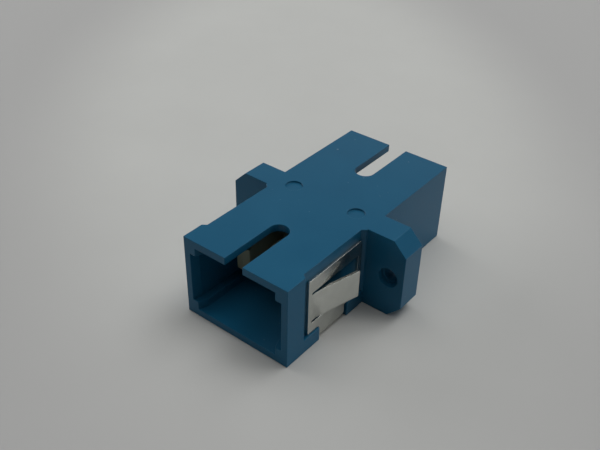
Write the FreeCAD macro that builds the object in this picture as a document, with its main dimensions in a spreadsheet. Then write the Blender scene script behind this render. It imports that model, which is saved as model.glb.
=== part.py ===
import FreeCAD, Part
import os
import Sketcher

# Flanged simplex adapter for SC fibre plugs.  All lengths are millimetres.
# X is the width, Y the fibre axis with the clip end at -Y, Z is up.
# The origin is the middle of the underside, below the split sleeve.

SIZES = {
    # housing trunk
    "housing_width": 12.9,
    "housing_length": 27.6,
    "housing_height": 9.3,
    # flange and its two stepped screw holes
    "flange_width": 22.0,
    "flange_thickness": 3.0,
    "flange_chamfer": 1.5,
    "screw_edge_distance": 1.8,
    "screw_hole_radius": 0.8,
    "screw_entry_margin": 0.3,
    "screw_entry_depth": 0.7,
    # plug port, the same at both ends
    "plug_width": 9.0,
    "plug_play": 0.1,
    "floor_wall": 0.85,
    "roof_wall": 0.85,
    "flex_wall": 0.55,
    "guide_height": 0.93,
    "mouth_depth": 1.0,
    "mouth_guide_flare": 0.4,
    "mouth_flex_flare": 0.25,
    "web_thickness": 1.2,
    # keyway in the top wall
    "keyway_width": 2.2,
    "keyway_length": 7.6,
    # shallow ejector marks in the top face
    "mark_radius": 0.92,
    "mark_spacing": 8.0,
    "mark_depth": 0.2,
    # seat of the spring clip
    "nose_length": 2.85,
    "stop_thickness": 0.5,
    "stop_ramp": 0.35,
    "seat_depth": 0.45,
    "lip_height": 1.6,
    "lip_round": 0.3,
    "groove_relief": 0.2,
    # spring clip
    "sheet": 0.3,
    "clip_play": 0.05,
    "clip_front_gap": 0.45,
    "clip_lip_gap": 0.06,
    "clip_setback": 1.1,
    "clip_corner": 0.2,
    "front_bar": 0.55,
    "rear_bar": 0.55,
    "lower_rail": 1.22,
    "upper_rail": 1.6,
    "strap_setback": 1.75,
    "strap_width": 4.2,
    "strap_rear_gap": 0.28,
    "strap_recess": 0.1,
    "strap_bend": 0.5,
    "tongue_play": 0.28,
    "tongue_lap": 0.25,
    "tongue_root": 0.7,
    "tongue_run": 5.12,
    "tongue_rise": 1.31,
    "tongue_bend": 5.0,
    # split sleeve
    "ferrule_radius": 1.25,
    "sleeve_wall": 0.35,
    "sleeve_length": 11.4,
    "sleeve_slit": 0.5,
    # latch housing
    "sleeve_play": 0.05,
    "holder_wall": 0.65,
    "holder_lip": 0.45,
    "lip_opening_margin": 0.2,
    "spigot_play": 0.05,
    "base_thickness": 1.4,
    "base_play": 0.1,
    "arm_flex_room": 1.05,
    "arm_thickness": 0.7,
    "arm_height": 2.5,
    "arm_setback": 5.2,
    "hook_depth": 0.55,
    "hook_land": 0.35,
    "hook_flat": 0.75,
    # how far a cut runs past the face that it starts from
    "overrun": 1.0,
}


class Size:
    """A length that keeps its spreadsheet formula beside its number."""

    def __init__(self, number, formula):
        self.number = number
        self.formula = formula

    def __add__(self, other):
        return Size(self.number + other.number, "(%s + %s)" % (self.formula, other.formula))

    def __sub__(self, other):
        return Size(self.number - other.number, "(%s - %s)" % (self.formula, other.formula))

    def __neg__(self):
        return Size(-self.number, "(-%s)" % self.formula)

    def half(self):
        return Size(self.number / 2, "(%s / 2)" % self.formula)


def size(name):
    return Size(SIZES[name], "Sizes." + name)


ZERO = Size(0.0, "0")
PAST = size("overrun")

# places that several pieces share
END_FACE = size("housing_length").half()
SIDE_FACE = size("housing_width").half()
TOP_FACE = size("housing_height")
FLANGE_FACE = size("flange_thickness").half()
WEB_FACE = size("web_thickness").half()
PORT_FLOOR = size("floor_wall")
PORT_CEILING = TOP_FACE - size("roof_wall")
FIBRE_AXIS = (PORT_FLOOR + PORT_CEILING).half()
SEAT_SIDE = SIDE_FACE - size("seat_depth")
SEAT_FRONT = END_FACE - size("nose_length")
SEAT_REAR = FLANGE_FACE + size("stop_thickness")
CLIP_OUTSIDE = SEAT_SIDE + size("sheet")
CLIP_FRONT = SEAT_FRONT - size("clip_front_gap")
CLIP_REAR = SEAT_REAR + size("clip_play")
CLIP_BOTTOM = size("lip_height") + size("clip_lip_gap")
CLIP_TOP = TOP_FACE - size("clip_setback")
STRAP_UNDER = size("strap_recess")
STRAP_OVER = STRAP_UNDER + size("sheet")
STRAP_FRONT = CLIP_FRONT - size("strap_setback")
STRAP_REAR = STRAP_FRONT - size("strap_width")
GROOVE_FRONT = STRAP_FRONT + size("clip_play")
GROOVE_REAR = STRAP_REAR - size("strap_rear_gap")
WINDOW_FRONT = CLIP_FRONT - size("front_bar")
WINDOW_REAR = CLIP_REAR + size("rear_bar")
WINDOW_BOTTOM = CLIP_BOTTOM + size("lower_rail")
WINDOW_TOP = CLIP_TOP - size("upper_rail")
TONGUE_BEND = WINDOW_FRONT - size("tongue_root")
SLEEVE_RADIUS = size("ferrule_radius") + size("sleeve_wall")
HOLDER_BORE = SLEEVE_RADIUS + size("sleeve_play")
HOLDER_RADIUS = HOLDER_BORE + size("holder_wall")


def make_sheet(doc):
    sheet = doc.addObject("Spreadsheet::Sheet", "Sizes")
    for row, (name, number) in enumerate(SIZES.items(), start=1):
        sheet.set("A%d" % row, name)
        sheet.set("B%d" % row, str(number))
        sheet.setAlias("B%d" % row, name)
    doc.recompute()


# ---------------------------------------------------------------- sketches

def own_plane(body, role):
    for feature in body.Origin.OriginFeatures:
        if feature.Role == role:
            return feature
    raise ValueError("no plane " + role)


def new_sketch(body, name, role, offset):
    """A sketch on one of the body's own planes, moved along its normal."""
    sketch = body.newObject("Sketcher::SketchObject", name)
    sketch.AttachmentSupport = (own_plane(body, role), [""])
    sketch.MapMode = "FlatFace"
    sketch.setExpression("AttachmentOffset.Base.z", offset.formula)
    return sketch


def bind_distance(sketch, kind, geometry, point, distance):
    """Hold one coordinate of a point, measured from the sketch origin."""
    if distance.number == 0:
        axis = -2 if kind == "DistanceX" else -1
        sketch.addConstraint(Sketcher.Constraint("PointOnObject", geometry, point, axis))
    elif distance.number > 0:
        index = sketch.addConstraint(
            Sketcher.Constraint(kind, -1, 1, geometry, point, distance.number))
        sketch.setExpression("Constraints[%d]" % index, distance.formula)
    else:
        index = sketch.addConstraint(
            Sketcher.Constraint(kind, geometry, point, -1, 1, -distance.number))
        sketch.setExpression("Constraints[%d]" % index, (-distance).formula)


def draw_outline(sketch, corners):
    """A closed outline of straight lines through the given corners."""
    places = [FreeCAD.Vector(x.number, y.number, 0) for x, y in corners]
    count = len(corners)
    lines = []
    for index in range(count):
        segment = Part.LineSegment(places[index], places[(index + 1) % count])
        lines.append(sketch.addGeometry(segment, False))
    for index in range(count):
        following = lines[(index + 1) % count]
        sketch.addConstraint(Sketcher.Constraint("Coincident", lines[index], 2, following, 1))
    for line, (x, y) in zip(lines, corners):
        bind_distance(sketch, "DistanceX", line, 1, x)
        bind_distance(sketch, "DistanceY", line, 1, y)


def draw_box(sketch, left, right, bottom, top):
    draw_outline(sketch, [(left, bottom), (right, bottom), (right, top), (left, top)])


def draw_mirrored(sketch, right):
    """One closed outline from its right half, listed upwards, and the mirror of it."""
    left = [(-x, y) for x, y in reversed(right)]
    draw_outline(sketch, right + left)


def draw_circle(sketch, x, y, radius):
    centre = FreeCAD.Vector(x.number, y.number, 0)
    circle = Part.Circle(centre, FreeCAD.Vector(0, 0, 1), radius.number)
    index = sketch.addGeometry(circle, False)
    bind_distance(sketch, "DistanceX", index, 3, x)
    bind_distance(sketch, "DistanceY", index, 3, y)
    held = sketch.addConstraint(Sketcher.Constraint("Radius", index, radius.number))
    sketch.setExpression("Constraints[%d]" % held, radius.formula)


# ---------------------------------------------------------------- features

def extrude(body, kind, sketch, length, reverse=False):
    """Pad or pocket a sketch; a pad follows the sketch normal, a pocket goes against it."""
    feature = body.newObject("PartDesign::" + kind, sketch.Name + kind)
    feature.Profile = sketch
    feature.setExpression("Length", length.formula)
    feature.Reversed = reverse
    sketch.Visibility = False


def round_edges(body, name, radius, wanted):
    """Fillet the edges of the latest feature that pass the given test."""
    body.Document.recompute()
    base = body.Tip
    edges = ["Edge%d" % (index + 1) for index, edge in enumerate(base.Shape.Edges) if wanted(edge)]
    fillet = body.newObject("PartDesign::Fillet", name)
    fillet.Base = (base, edges)
    fillet.setExpression("Radius", radius.formula)


def runs_along(edge, axis):
    """True for a straight edge along one axis (0 is X, 1 is Y, 2 is Z)."""
    start = edge.Vertexes[0].Point
    end = edge.Vertexes[-1].Point
    travel = [abs(end[index] - start[index]) for index in range(3)]
    return sum(travel) > 0 and travel[axis] > 0.999 * sum(travel)


def near(value, target):
    return abs(abs(value) - target.number) < 0.01


def new_body(doc, name):
    body = doc.addObject("PartDesign::Body", name)
    body.Label = name
    body.Placement = FreeCAD.Placement()
    return body


# ---------------------------------------------------------------- housing

def port_half(guide_flare, flex_flare, play):
    """Right half of the port: narrow where it guides the plug, wide where the latch arms flex."""
    guide = size("plug_width").half() + size("plug_play") + guide_flare - play
    flex = SEAT_SIDE - size("flex_wall") + flex_flare - play
    ceiling = PORT_CEILING - play
    low = PORT_FLOOR + size("guide_height") + play
    high = PORT_CEILING - size("guide_height") - play
    return [(guide, PORT_FLOOR), (guide, low), (flex, low), (flex, high), (guide, high), (guide, ceiling)]


def make_trunk(body):
    trunk = new_sketch(body, "Trunk", "XZ_Plane", -END_FACE)
    draw_box(trunk, -SIDE_FACE, SIDE_FACE, ZERO, TOP_FACE)
    extrude(body, "Pad", trunk, size("housing_length"))


def make_flange(body):
    reach = size("flange_width").half()
    chamfer = size("flange_chamfer")
    flange = new_sketch(body, "Flange", "XZ_Plane", -FLANGE_FACE)
    draw_mirrored(flange, [(reach - chamfer, ZERO), (reach, chamfer),
                           (reach, TOP_FACE - chamfer), (reach - chamfer, TOP_FACE)])
    extrude(body, "Pad", flange, size("flange_thickness"))

    centre = reach - size("screw_edge_distance")
    pilots = new_sketch(body, "ScrewPilots", "XZ_Plane", FLANGE_FACE + PAST)
    entries = new_sketch(body, "ScrewEntries", "XZ_Plane", FLANGE_FACE + PAST)
    for x in (-centre, centre):
        draw_circle(pilots, x, TOP_FACE.half(), size("screw_hole_radius"))
        draw_circle(entries, x, TOP_FACE.half(), size("screw_hole_radius") + size("screw_entry_margin"))
    extrude(body, "Pocket", pilots, size("flange_thickness") + PAST + PAST)
    extrude(body, "Pocket", entries, size("screw_entry_depth") + PAST)


def cut_port(body, end, front):
    """One plug port with its flared mouth; the front one opens at -Y."""
    throat_face = END_FACE - size("mouth_depth")
    port = new_sketch(body, end + "Port", "XZ_Plane", END_FACE if front else -END_FACE)
    draw_mirrored(port, port_half(ZERO, ZERO, ZERO))
    extrude(body, "Pocket", port, END_FACE - WEB_FACE, reverse=not front)

    mouth = new_sketch(body, end + "Mouth", "XZ_Plane", END_FACE if front else -END_FACE)
    draw_mirrored(mouth, port_half(size("mouth_guide_flare"), size("mouth_flex_flare"), ZERO))
    throat = new_sketch(body, end + "Throat", "XZ_Plane", throat_face if front else -throat_face)
    draw_mirrored(throat, port_half(ZERO, ZERO, ZERO))
    flare = body.newObject("PartDesign::SubtractiveLoft", end + "Flare")
    flare.Profile = mouth
    flare.Sections = [throat]
    flare.Ruled = True


def cut_keyway(body, end, front):
    """Slot through the top wall, open at the end face and round at its inner end."""
    half = size("keyway_width").half()
    centre = END_FACE - size("keyway_length") + half
    outside = END_FACE + PAST
    depth = size("roof_wall") + PAST + PAST
    slot = new_sketch(body, end + "Keyway", "XY_Plane", TOP_FACE + PAST)
    if front:
        draw_box(slot, -half, half, -outside, -centre)
    else:
        draw_box(slot, -half, half, centre, outside)
    extrude(body, "Pocket", slot, depth)
    bow = new_sketch(body, end + "KeywayEnd", "XY_Plane", TOP_FACE + PAST)
    draw_circle(bow, ZERO, -centre if front else centre, half)
    extrude(body, "Pocket", bow, depth)


def cut_web_and_marks(body):
    web = new_sketch(body, "WebHole", "XZ_Plane", WEB_FACE + PAST)
    draw_circle(web, ZERO, FIBRE_AXIS, HOLDER_RADIUS + size("spigot_play"))
    extrude(body, "Pocket", web, size("web_thickness") + PAST + PAST)

    marks = new_sketch(body, "EjectorMarks", "XY_Plane", TOP_FACE)
    for x in (-size("mark_spacing").half(), size("mark_spacing").half()):
        draw_circle(marks, x, ZERO, size("mark_radius"))
    extrude(body, "Pocket", marks, size("mark_depth"))


def cut_clip_seat(body):
    """Side recesses that take the clip's plates, with a slanted stop at both ends."""
    outside = SIDE_FACE + PAST
    front = SEAT_FRONT + size("stop_ramp")
    rear = SEAT_REAR - size("stop_ramp")
    corners = [(SEAT_SIDE, -SEAT_FRONT), (SIDE_FACE, -front), (outside, -front),
               (outside, -rear), (SIDE_FACE, -rear), (SEAT_SIDE, -SEAT_REAR)]
    seat = new_sketch(body, "ClipSeat", "XY_Plane", size("lip_height"))
    draw_outline(seat, corners)
    draw_outline(seat, [(-x, y) for x, y in reversed(corners)])
    extrude(body, "Pocket", seat, TOP_FACE - size("lip_height") + PAST, reverse=True)


def cut_strap_groove(body):
    """Groove round the underside for the strap, with its corners taken off for the bends."""
    outside = SIDE_FACE + PAST
    slope = size("strap_bend") - size("groove_relief")
    groove = new_sketch(body, "StrapGroove", "XZ_Plane", GROOVE_FRONT)
    draw_mirrored(groove, [(outside, -PAST), (outside, size("lip_height")), (SEAT_SIDE, size("lip_height")),
                           (SEAT_SIDE, STRAP_OVER + slope), (SEAT_SIDE - slope, STRAP_OVER)])
    extrude(body, "Pocket", groove, GROOVE_FRONT - GROOVE_REAR)

    def at_lip(edge):
        corner = edge.Vertexes[0]
        across = runs_along(edge, 0) and edge.Length < size("sheet").number + size("seat_depth").number
        return across and near(corner.Y, GROOVE_REAR) and near(corner.Z, size("lip_height"))

    round_edges(body, "LipCorners", size("lip_round"), at_lip)


def make_housing(doc):
    body = new_body(doc, "housing")
    make_trunk(body)
    make_flange(body)
    cut_port(body, "Front", front=True)
    cut_port(body, "Rear", front=False)
    cut_keyway(body, "Front", front=True)
    cut_keyway(body, "Rear", front=False)
    cut_web_and_marks(body)
    cut_clip_seat(body)
    cut_strap_groove(body)
    return body


# ---------------------------------------------------------------- spring clip

def make_strap(body):
    """The strap under the body, with both its bends rounded."""
    top = CLIP_BOTTOM + size("sheet")
    strap = new_sketch(body, "Strap", "XZ_Plane", STRAP_REAR)
    draw_outline(strap, [(-CLIP_OUTSIDE, top), (-CLIP_OUTSIDE, STRAP_UNDER), (CLIP_OUTSIDE, STRAP_UNDER),
                         (CLIP_OUTSIDE, top), (SEAT_SIDE, top), (SEAT_SIDE, STRAP_OVER),
                         (-SEAT_SIDE, STRAP_OVER), (-SEAT_SIDE, top)])
    extrude(body, "Pad", strap, size("strap_width"))
    for name, height, radius in (("OutsideBend", STRAP_UNDER, size("strap_bend")),
                                 ("InsideBend", STRAP_OVER, size("strap_bend") - size("sheet"))):
        round_edges(body, name, radius,
                    lambda edge, at=height: runs_along(edge, 1) and near(edge.Vertexes[0].Z, at))


def make_side(body, name, side):
    """One side plate with its window, and the tongue that springs out of the window."""
    plate = new_sketch(body, name + "Plate", "YZ_Plane", SEAT_SIDE if side > 0 else -SEAT_SIDE)
    draw_box(plate, -CLIP_FRONT, -CLIP_REAR, CLIP_BOTTOM, CLIP_TOP)
    draw_box(plate, -WINDOW_FRONT, -WINDOW_REAR, WINDOW_BOTTOM, WINDOW_TOP)
    extrude(body, "Pad", plate, size("sheet"), reverse=side < 0)

    tip = TONGUE_BEND - size("tongue_run")
    rise = size("tongue_rise")
    lap = WINDOW_FRONT + size("tongue_lap")
    corners = [(SEAT_SIDE, -lap), (CLIP_OUTSIDE, -lap), (CLIP_OUTSIDE, -TONGUE_BEND),
               (CLIP_OUTSIDE + rise, -tip), (SEAT_SIDE + rise, -tip), (SEAT_SIDE, -TONGUE_BEND)]
    low = WINDOW_BOTTOM + size("tongue_play")
    tongue = new_sketch(body, name + "Tongue", "XY_Plane", low)
    draw_outline(tongue, [(x if side > 0 else -x, y) for x, y in corners])
    extrude(body, "Pad", tongue, WINDOW_TOP - size("tongue_play") - low)


def round_clip(body):
    """Bend radii at the tongue roots, and the clipped corners of the plates."""
    def at_bend(edge, across):
        corner = edge.Vertexes[0]
        return runs_along(edge, 2) and near(corner.Y, TONGUE_BEND) and near(corner.X, across)

    def at_corner(edge):
        corner = edge.Vertexes[0]
        across_sheet = runs_along(edge, 0) and edge.Length < 2 * size("sheet").number
        return across_sheet and (near(corner.Y, CLIP_FRONT) or near(corner.Y, CLIP_REAR))

    inner_bend = size("tongue_bend") + size("sheet")
    round_edges(body, "TongueBendOutside", size("tongue_bend"), lambda edge: at_bend(edge, CLIP_OUTSIDE))
    round_edges(body, "TongueBendInside", inner_bend, lambda edge: at_bend(edge, SEAT_SIDE))
    round_edges(body, "PlateCorners", size("clip_corner"), at_corner)


def make_clip(doc):
    body = new_body(doc, "mounting_clip")
    make_strap(body)
    make_side(body, "Right", 1)
    make_side(body, "Left", -1)
    round_clip(body)
    return body


# ---------------------------------------------------------------- inner parts

def make_sleeve(doc):
    """Slit tube that lines up the two ferrules."""
    body = new_body(doc, "split_sleeve")
    half_length = size("sleeve_length").half()
    ring = new_sketch(body, "Ring", "XZ_Plane", -half_length)
    draw_circle(ring, ZERO, FIBRE_AXIS, SLEEVE_RADIUS)
    draw_circle(ring, ZERO, FIBRE_AXIS, size("ferrule_radius"))
    extrude(body, "Pad", ring, size("sleeve_length"))
    half = size("sleeve_slit").half()
    slit = new_sketch(body, "Slit", "XZ_Plane", half_length + PAST)
    draw_box(slit, -half, half, FIBRE_AXIS, FIBRE_AXIS + SLEEVE_RADIUS + PAST)
    extrude(body, "Pocket", slit, size("sleeve_length") + PAST + PAST)
    return body


def draw_arm(sketch, side):
    """Plan view of a latch arm: a flat spring that ends in an inward hook."""
    outside = SEAT_SIDE - size("flex_wall") - size("arm_flex_room")
    inside = outside - size("arm_thickness")
    tip = inside - size("hook_depth")
    reach = END_FACE - size("arm_setback")
    shoulder = outside - size("hook_flat")
    slope = shoulder - tip
    catch = slope + size("hook_land") - reach
    root = WEB_FACE + size("base_thickness").half()
    corners = [(outside, -root), (outside, -reach), (shoulder, -reach),
               (tip, slope - reach), (tip, catch), (inside, catch), (inside, -root)]
    draw_outline(sketch, [(x if side > 0 else -x, y) for x, y in corners])


def make_latch_housing(doc, name, turn):
    """Base plate, two hooked arms and half of the tube that holds the split sleeve."""
    body = new_body(doc, name)
    sleeve_end = size("sleeve_length").half()
    end = sleeve_end + size("holder_lip")
    base = new_sketch(body, name + "Base", "XZ_Plane", WEB_FACE)
    draw_mirrored(base, port_half(ZERO, ZERO, size("base_play")))
    extrude(body, "Pad", base, size("base_thickness"))
    tube = new_sketch(body, name + "Tube", "XZ_Plane", ZERO)
    draw_circle(tube, ZERO, FIBRE_AXIS, HOLDER_RADIUS)
    extrude(body, "Pad", tube, end)

    arms = new_sketch(body, name + "Arms", "XY_Plane", FIBRE_AXIS - size("arm_height").half())
    draw_arm(arms, 1)
    draw_arm(arms, -1)
    extrude(body, "Pad", arms, size("arm_height"))

    bore = new_sketch(body, name + "Bore", "XZ_Plane", -PAST)
    draw_circle(bore, ZERO, FIBRE_AXIS, HOLDER_BORE)
    extrude(body, "Pocket", bore, sleeve_end + PAST, reverse=True)
    opening = new_sketch(body, name + "Opening", "XZ_Plane", end + PAST)
    draw_circle(opening, ZERO, FIBRE_AXIS, size("ferrule_radius") + size("lip_opening_margin"))
    extrude(body, "Pocket", opening, end)
    body.Placement = FreeCAD.Placement(FreeCAD.Vector(), FreeCAD.Rotation(FreeCAD.Vector(0, 0, 1), turn))
    return body


# ---------------------------------------------------------------- build

def check_sound(doc):
    for thing in doc.Objects:
        if "Invalid" in thing.State or "Error" in thing.State:
            raise RuntimeError("%s did not build" % thing.Label)


def export(bodies):
    os.makedirs("parts", exist_ok=True)
    for body in bodies:
        shape = body.Shape
        if shape.isNull() or not shape.isValid() or len(shape.Solids) != 1:
            raise RuntimeError("%s is not one valid solid" % body.Label)
        shape.exportStep(os.path.join("parts", body.Label + ".step"))


document = FreeCAD.newDocument("FibreAdapter")
make_sheet(document)
made = [
    make_housing(document),
    make_clip(document),
    make_latch_housing(document, "front_latch_housing", 0),
    make_latch_housing(document, "rear_latch_housing", 180),
    make_sleeve(document),
]
document.recompute()
check_sound(document)
export(made)
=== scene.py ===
import math

import bpy
from mathutils import Matrix, Vector


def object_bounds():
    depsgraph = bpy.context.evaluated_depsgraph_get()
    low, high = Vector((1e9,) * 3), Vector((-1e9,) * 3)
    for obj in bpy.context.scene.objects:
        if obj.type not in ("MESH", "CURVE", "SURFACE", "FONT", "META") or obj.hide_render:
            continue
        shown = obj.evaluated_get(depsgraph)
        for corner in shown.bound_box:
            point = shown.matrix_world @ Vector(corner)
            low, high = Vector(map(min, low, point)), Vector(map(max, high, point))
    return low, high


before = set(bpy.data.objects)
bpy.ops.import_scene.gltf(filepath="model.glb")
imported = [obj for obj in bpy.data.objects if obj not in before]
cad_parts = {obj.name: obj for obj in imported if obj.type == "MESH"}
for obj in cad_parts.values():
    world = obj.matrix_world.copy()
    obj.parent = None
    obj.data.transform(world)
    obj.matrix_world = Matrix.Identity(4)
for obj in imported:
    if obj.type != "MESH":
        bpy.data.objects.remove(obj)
cad_low, cad_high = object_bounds()

MM = 0.001
NICK = [c * MM for c in (-5.0, 9.1, 9.3)]     # where the rear of the top face was knocked
PANEL_DISTANCE = 0.7                          # from the object to each light, in metres
MIDDLE = {"From Min": 0.3, "From Max": 0.7}   # the range that holds most of a noise
SHARE, FIRST, SECOND, MIXED = 0, 6, 7, 2      # the sockets of a Mix node that mixes colours


# ---------------------------------------------------------------- camera

def direction(azimuth, elevation):
    """The way from the object to a place: azimuth 0 is in front of it, 90 degrees at its right."""
    return Vector((math.sin(azimuth) * math.cos(elevation),
                   -math.cos(azimuth) * math.cos(elevation),
                   math.sin(elevation)))


def make_camera():
    """A 48 mm lens a hand's breadth away, above the front right corner and rolled a little."""
    azimuth, elevation, roll = (math.radians(angle) for angle in (37.781, 35.37, 1.357))
    aim = Vector((-3.649, 0.735, 3.968)) * MM
    distance_mm = 86.609
    back = direction(azimuth, elevation)
    data = bpy.data.cameras.new("camera")
    data.lens = 47.56
    data.sensor_width = 36.0
    data.clip_start = 1 * MM
    data.clip_end = 10.0
    camera = bpy.data.objects.new("camera", data)
    bpy.context.scene.collection.objects.link(camera)
    turned = (-back).to_track_quat("-Z", "Y").to_matrix() @ Matrix.Rotation(roll, 3, "Z")
    camera.matrix_world = Matrix.Translation(aim + back * distance_mm * MM) @ turned.to_4x4()
    bpy.context.scene.camera = camera


make_camera()


# ---------------------------------------------------------------- nodes and colours

def colour(text):
    """Linear RGBA from an sRGB hex code."""
    channels = [int(text[i:i + 2], 16) / 255 for i in (1, 3, 5)]
    linear = [c / 12.92 if c <= 0.04045 else ((c + 0.055) / 1.055) ** 2.4 for c in channels]
    return (*linear, 1.0)


def add(tree, kind, inputs=None, **settings):
    """Adds a shader node; an input is either a value or the socket that feeds it."""
    made = tree.nodes.new("ShaderNode" + kind)
    for name, value in settings.items():
        setattr(made, name, value)
    for name, value in (inputs or {}).items():
        if isinstance(value, bpy.types.NodeSocket):
            tree.links.new(value, made.inputs[name])
        else:
            made.inputs[name].default_value = value
    return made


def new_material(name):
    """An empty material, its tree and the object's own coordinates."""
    material = bpy.data.materials.new(name)
    material.use_nodes = True
    tree = material.node_tree
    tree.nodes.clear()
    return material, tree, add(tree, "TexCoord").outputs["Object"]


def surface(material, inputs):
    """Gives a material its shader, with the inputs named as the shader names them."""
    tree = material.node_tree
    shader = add(tree, "BsdfPrincipled", inputs)
    add(tree, "OutputMaterial", {"Surface": shader.outputs["BSDF"]})
    return material


def pattern(tree, place, size_mm, stretch=(1, 1, 1), detail=3.0):
    """A noise from 0 to 1 whose patches are size_mm across, drawn out along an axis by stretch."""
    scale = [1 / (size_mm * MM * along) for along in stretch]
    placed = add(tree, "Mapping", {"Vector": place, "Scale": scale}).outputs["Vector"]
    return add(tree, "TexNoise", {"Vector": placed, "Scale": 1.0, "Detail": detail,
                                  "Roughness": 0.55}).outputs["Fac"]


def clouded(tree, cloud, first, second):
    """A colour that drifts from one hex code to another with a pattern, over its middle."""
    share = add(tree, "MapRange", {"Value": cloud, **MIDDLE}).outputs["Result"]
    return add(tree, "Mix", {SHARE: share, FIRST: colour(first), SECOND: colour(second)},
               data_type="RGBA").outputs[MIXED]


# ---------------------------------------------------------------- materials

def make_blue_pbt():
    """PBT injection-moulded against a fine spark-eroded tool: satin, with broad soft highlights.
    The pigment flows a little unevenly, the grain takes the edge off reflections, and handling
    has left a few pale specks and one small nick in the top.  The real grain is about 0.02 mm,
    too fine to show, so it is drawn at 0.16 mm."""
    material, tree, place = new_material("blue_pbt_injection_moulded")
    flow = pattern(tree, place, 5.0, detail=4.0)
    grain = pattern(tree, place, 0.16, detail=2.0)
    body = clouded(tree, flow, "#175777", "#195B7B")
    specks = add(tree, "MapRange", {"Value": pattern(tree, place, 0.45, detail=1.0),
                                    "From Min": 0.77, "From Max": 0.82, "To Max": 0.35})
    away = add(tree, "VectorMath", {0: place, 1: NICK}, operation="DISTANCE").outputs["Value"]
    nick = add(tree, "MapRange", {"Value": away, "From Min": 0.17 * MM, "From Max": 0.06 * MM},
               interpolation_type="SMOOTHSTEP")
    for mark, pale in ((specks, "#7F97A3"), (nick, "#5F7F90")):
        body = add(tree, "Mix", {SHARE: mark.outputs["Result"], FIRST: body,
                                 SECOND: colour(pale)}, data_type="RGBA").outputs[MIXED]
    satin = add(tree, "MapRange", {"Value": flow, **MIDDLE, "To Min": 0.29, "To Max": 0.34})
    dents = add(tree, "Bump", {"Height": grain, "Distance": 0.001 * MM})
    return surface(material, {"Base Color": body, "Roughness": satin.outputs["Result"],
                              "IOR": 1.5, "Specular IOR Level": 0.18,
                              "Normal": dents.outputs["Normal"]})


def make_rolled_steel():
    """Stainless strip, cold rolled and bent: bright but not a mirror, with faint lines along
    the strip and cloudy patches where it was handled.  The real lines are about 0.02 mm wide,
    and are drawn at 0.12 mm so that they show."""
    material, tree, place = new_material("stainless_strip_cold_rolled")
    lines = pattern(tree, place, 0.12, stretch=(1, 1, 30))
    clouds = pattern(tree, place, 1.6)
    body = clouded(tree, clouds, "#C2C4BF", "#CFD0CB")
    sheen = add(tree, "MapRange", {"Value": clouds, **MIDDLE, "To Min": 0.18, "To Max": 0.24})
    grooves = add(tree, "Bump", {"Height": lines, "Distance": 0.0003 * MM})
    return surface(material, {"Base Color": body, "Metallic": 1.0,
                              "Roughness": sheen.outputs["Result"],
                              "Normal": grooves.outputs["Normal"]})


def make_natural_pbt():
    """Uncoloured PBT: milky, a little grey and yellow, with the satin skin that moulding leaves.
    Its grain is drawn as coarse as the blue part's, for the same reason."""
    material, tree, place = new_material("natural_pbt_injection_moulded")
    flow = pattern(tree, place, 2.5)
    grain = pattern(tree, place, 0.16, detail=2.0)
    body = clouded(tree, flow, "#929680", "#9CA089")
    satin = add(tree, "MapRange", {"Value": flow, **MIDDLE, "To Min": 0.38, "To Max": 0.48})
    dents = add(tree, "Bump", {"Height": grain, "Distance": 0.002 * MM})
    return surface(material, {"Base Color": body, "Roughness": satin.outputs["Result"],
                              "IOR": 1.5, "Normal": dents.outputs["Normal"]})


def make_zirconia():
    """Zirconia ground and polished: hard, glossy and slightly off white, with the fine rings
    that the grinding leaves round it.  They are under 0.01 mm wide, and are drawn at 0.1 mm."""
    material, tree, place = new_material("zirconia_ground")
    rings = pattern(tree, place, 0.1, stretch=(40, 1, 40), detail=2.0)
    body = clouded(tree, pattern(tree, place, 1.5), "#EDE9DE", "#F3F0E8")
    polish = add(tree, "MapRange", {"Value": rings, **MIDDLE, "To Min": 0.12, "To Max": 0.2})
    grooves = add(tree, "Bump", {"Height": rings, "Distance": 0.0006 * MM})
    return surface(material, {"Base Color": body, "Roughness": polish.outputs["Result"],
                              "IOR": 2.1, "Normal": grooves.outputs["Normal"]})


def make_board():
    """Smooth matt board, faintly mottled, so the shadow falls soft and plain.  Its colour holds a
    painted
    pool of light: palest in an oval that runs from the object to behind it, greying towards its
    edges."""
    material, tree, place = new_material("matt_grey_board")
    body = clouded(tree, pattern(tree, place, 14.0, detail=4.0), "#C6C7C4", "#C9CAC7")
    # painted pool of light: the board is paler in an oval round the object and behind it
    turned = add(tree, "Mapping", {"Vector": place, "Location": (0, -40 * MM, 0),
                                   "Rotation": (0, 0, math.radians(-42))}).outputs["Vector"]
    oval = add(tree, "VectorMath", {0: turned, 1: (1.0, 0.52, 0.0)},
               operation="MULTIPLY").outputs["Vector"]
    away = add(tree, "VectorMath", {0: oval}, operation="LENGTH").outputs["Value"]
    # painted falloff of light: the board greys towards the edges of the oval
    grey = add(tree, "MapRange", {"Value": away, "From Min": 22 * MM, "From Max": 45 * MM},
               interpolation_type="SMOOTHSTEP").outputs["Result"]
    body = add(tree, "Mix", {SHARE: grey, FIRST: body, SECOND: colour("#B4B4B3")},
               data_type="RGBA").outputs[MIXED]
    return surface(material, {"Base Color": body, "Roughness": 0.8, "Specular IOR Level": 0.2})


# ---------------------------------------------------------------- pieces

def soften(node, width_mm):
    """Rounds a CAD node's sharp edges: its triangles are joined, each flat face becomes
    one polygon, and each edge that turns by more than 30 degrees gets a small round."""
    weld = node.modifiers.new("join", "WELD")
    weld.merge_threshold = 0.0005 * MM
    flat = node.modifiers.new("flatten", "DECIMATE")
    flat.decimate_type = "DISSOLVE"
    flat.angle_limit = math.radians(0.5)
    edge = node.modifiers.new("edges", "BEVEL")
    edge.width = width_mm * MM
    edge.segments = 2
    edge.limit_method = "ANGLE"
    edge.angle_limit = math.radians(30)
    edge.harden_normals = True
    edge.miter_outer = "MITER_ARC"


def dress(name, material, width_mm):
    """Gives a CAD node its material, and its edges a round as wide as width_mm."""
    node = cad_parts[name]
    for slot in node.material_slots:
        slot.material = material
    soften(node, width_mm)


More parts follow.
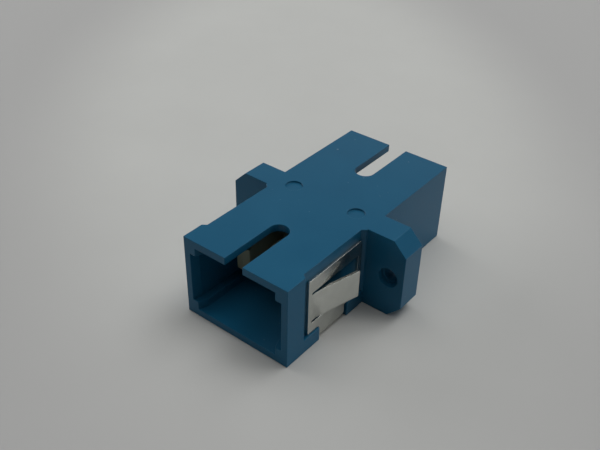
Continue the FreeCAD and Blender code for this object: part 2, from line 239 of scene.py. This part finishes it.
dress("housing", make_blue_pbt(), 0.07)
dress("mounting_clip", make_rolled_steel(), 0.02)
natural = make_natural_pbt()
dress("front_latch_housing", natural, 0.06)
dress("rear_latch_housing", natural, 0.06)
dress("split_sleeve", make_zirconia(), 0.04)


# ---------------------------------------------------------------- floor and light

def make_floor():
    """A level square board: its corners are half its side to each side of the object, a hair
    below the object so that no two faces share a plane."""
    half = 0.8
    level = cad_low.z - 0.02 * MM
    mesh = bpy.data.meshes.new("floor")
    mesh.from_pydata([(-half, -half, level), (half, -half, level),
                      (half, half, level), (-half, half, level)], [], [(0, 1, 2, 3)])
    floor = bpy.data.objects.new("floor", mesh)
    bpy.context.scene.collection.objects.link(floor)
    floor.data.materials.append(make_board())


def make_softbox(name, azimuth, elevation, width, height, watts):
    """A flat soft light that faces the object, its place in degrees and its sides in metres."""
    place = PANEL_DISTANCE * direction(math.radians(azimuth), math.radians(elevation))
    data = bpy.data.lights.new(name, "AREA")
    data.shape = "RECTANGLE"
    data.size = width
    data.size_y = height
    data.energy = watts
    light = bpy.data.objects.new(name, data)
    bpy.context.scene.collection.objects.link(light)
    light.location = place
    light.rotation_mode = "QUATERNION"
    light.rotation_quaternion = (-place).to_track_quat("-Z", "Y")


def make_world():
    """Even, weak light from all round, pale grey, which opens up the shadows."""
    world = bpy.data.worlds.new("room")
    world.use_nodes = True
    background = world.node_tree.nodes["Background"]
    background.inputs["Color"].default_value = colour("#B4B6B4")
    background.inputs["Strength"].default_value = 0.08
    bpy.context.scene.world = world


make_floor()
# name, azimuth, elevation, width, height, watts
make_softbox("overhead_panel", 20, 82, 0.9, 0.9, 1.2)
make_softbox("high_back_panel", 147, 65, 0.4, 0.4, 1.45)
make_softbox("middle_back_panel", 178, 42, 0.4, 0.4, 0.48)
make_softbox("low_back_panel", 214, 20, 0.4, 0.4, 0.22)
make_softbox("high_left_panel", 248, 65, 0.4, 0.4, 0.6)
make_softbox("low_left_panel", 273, 20, 0.7, 0.4, 1.9)
make_softbox("low_right_panel", 130, 7, 0.4, 0.16, 0.85)
make_world()
bpy.context.scene.view_settings.view_transform = "Standard"
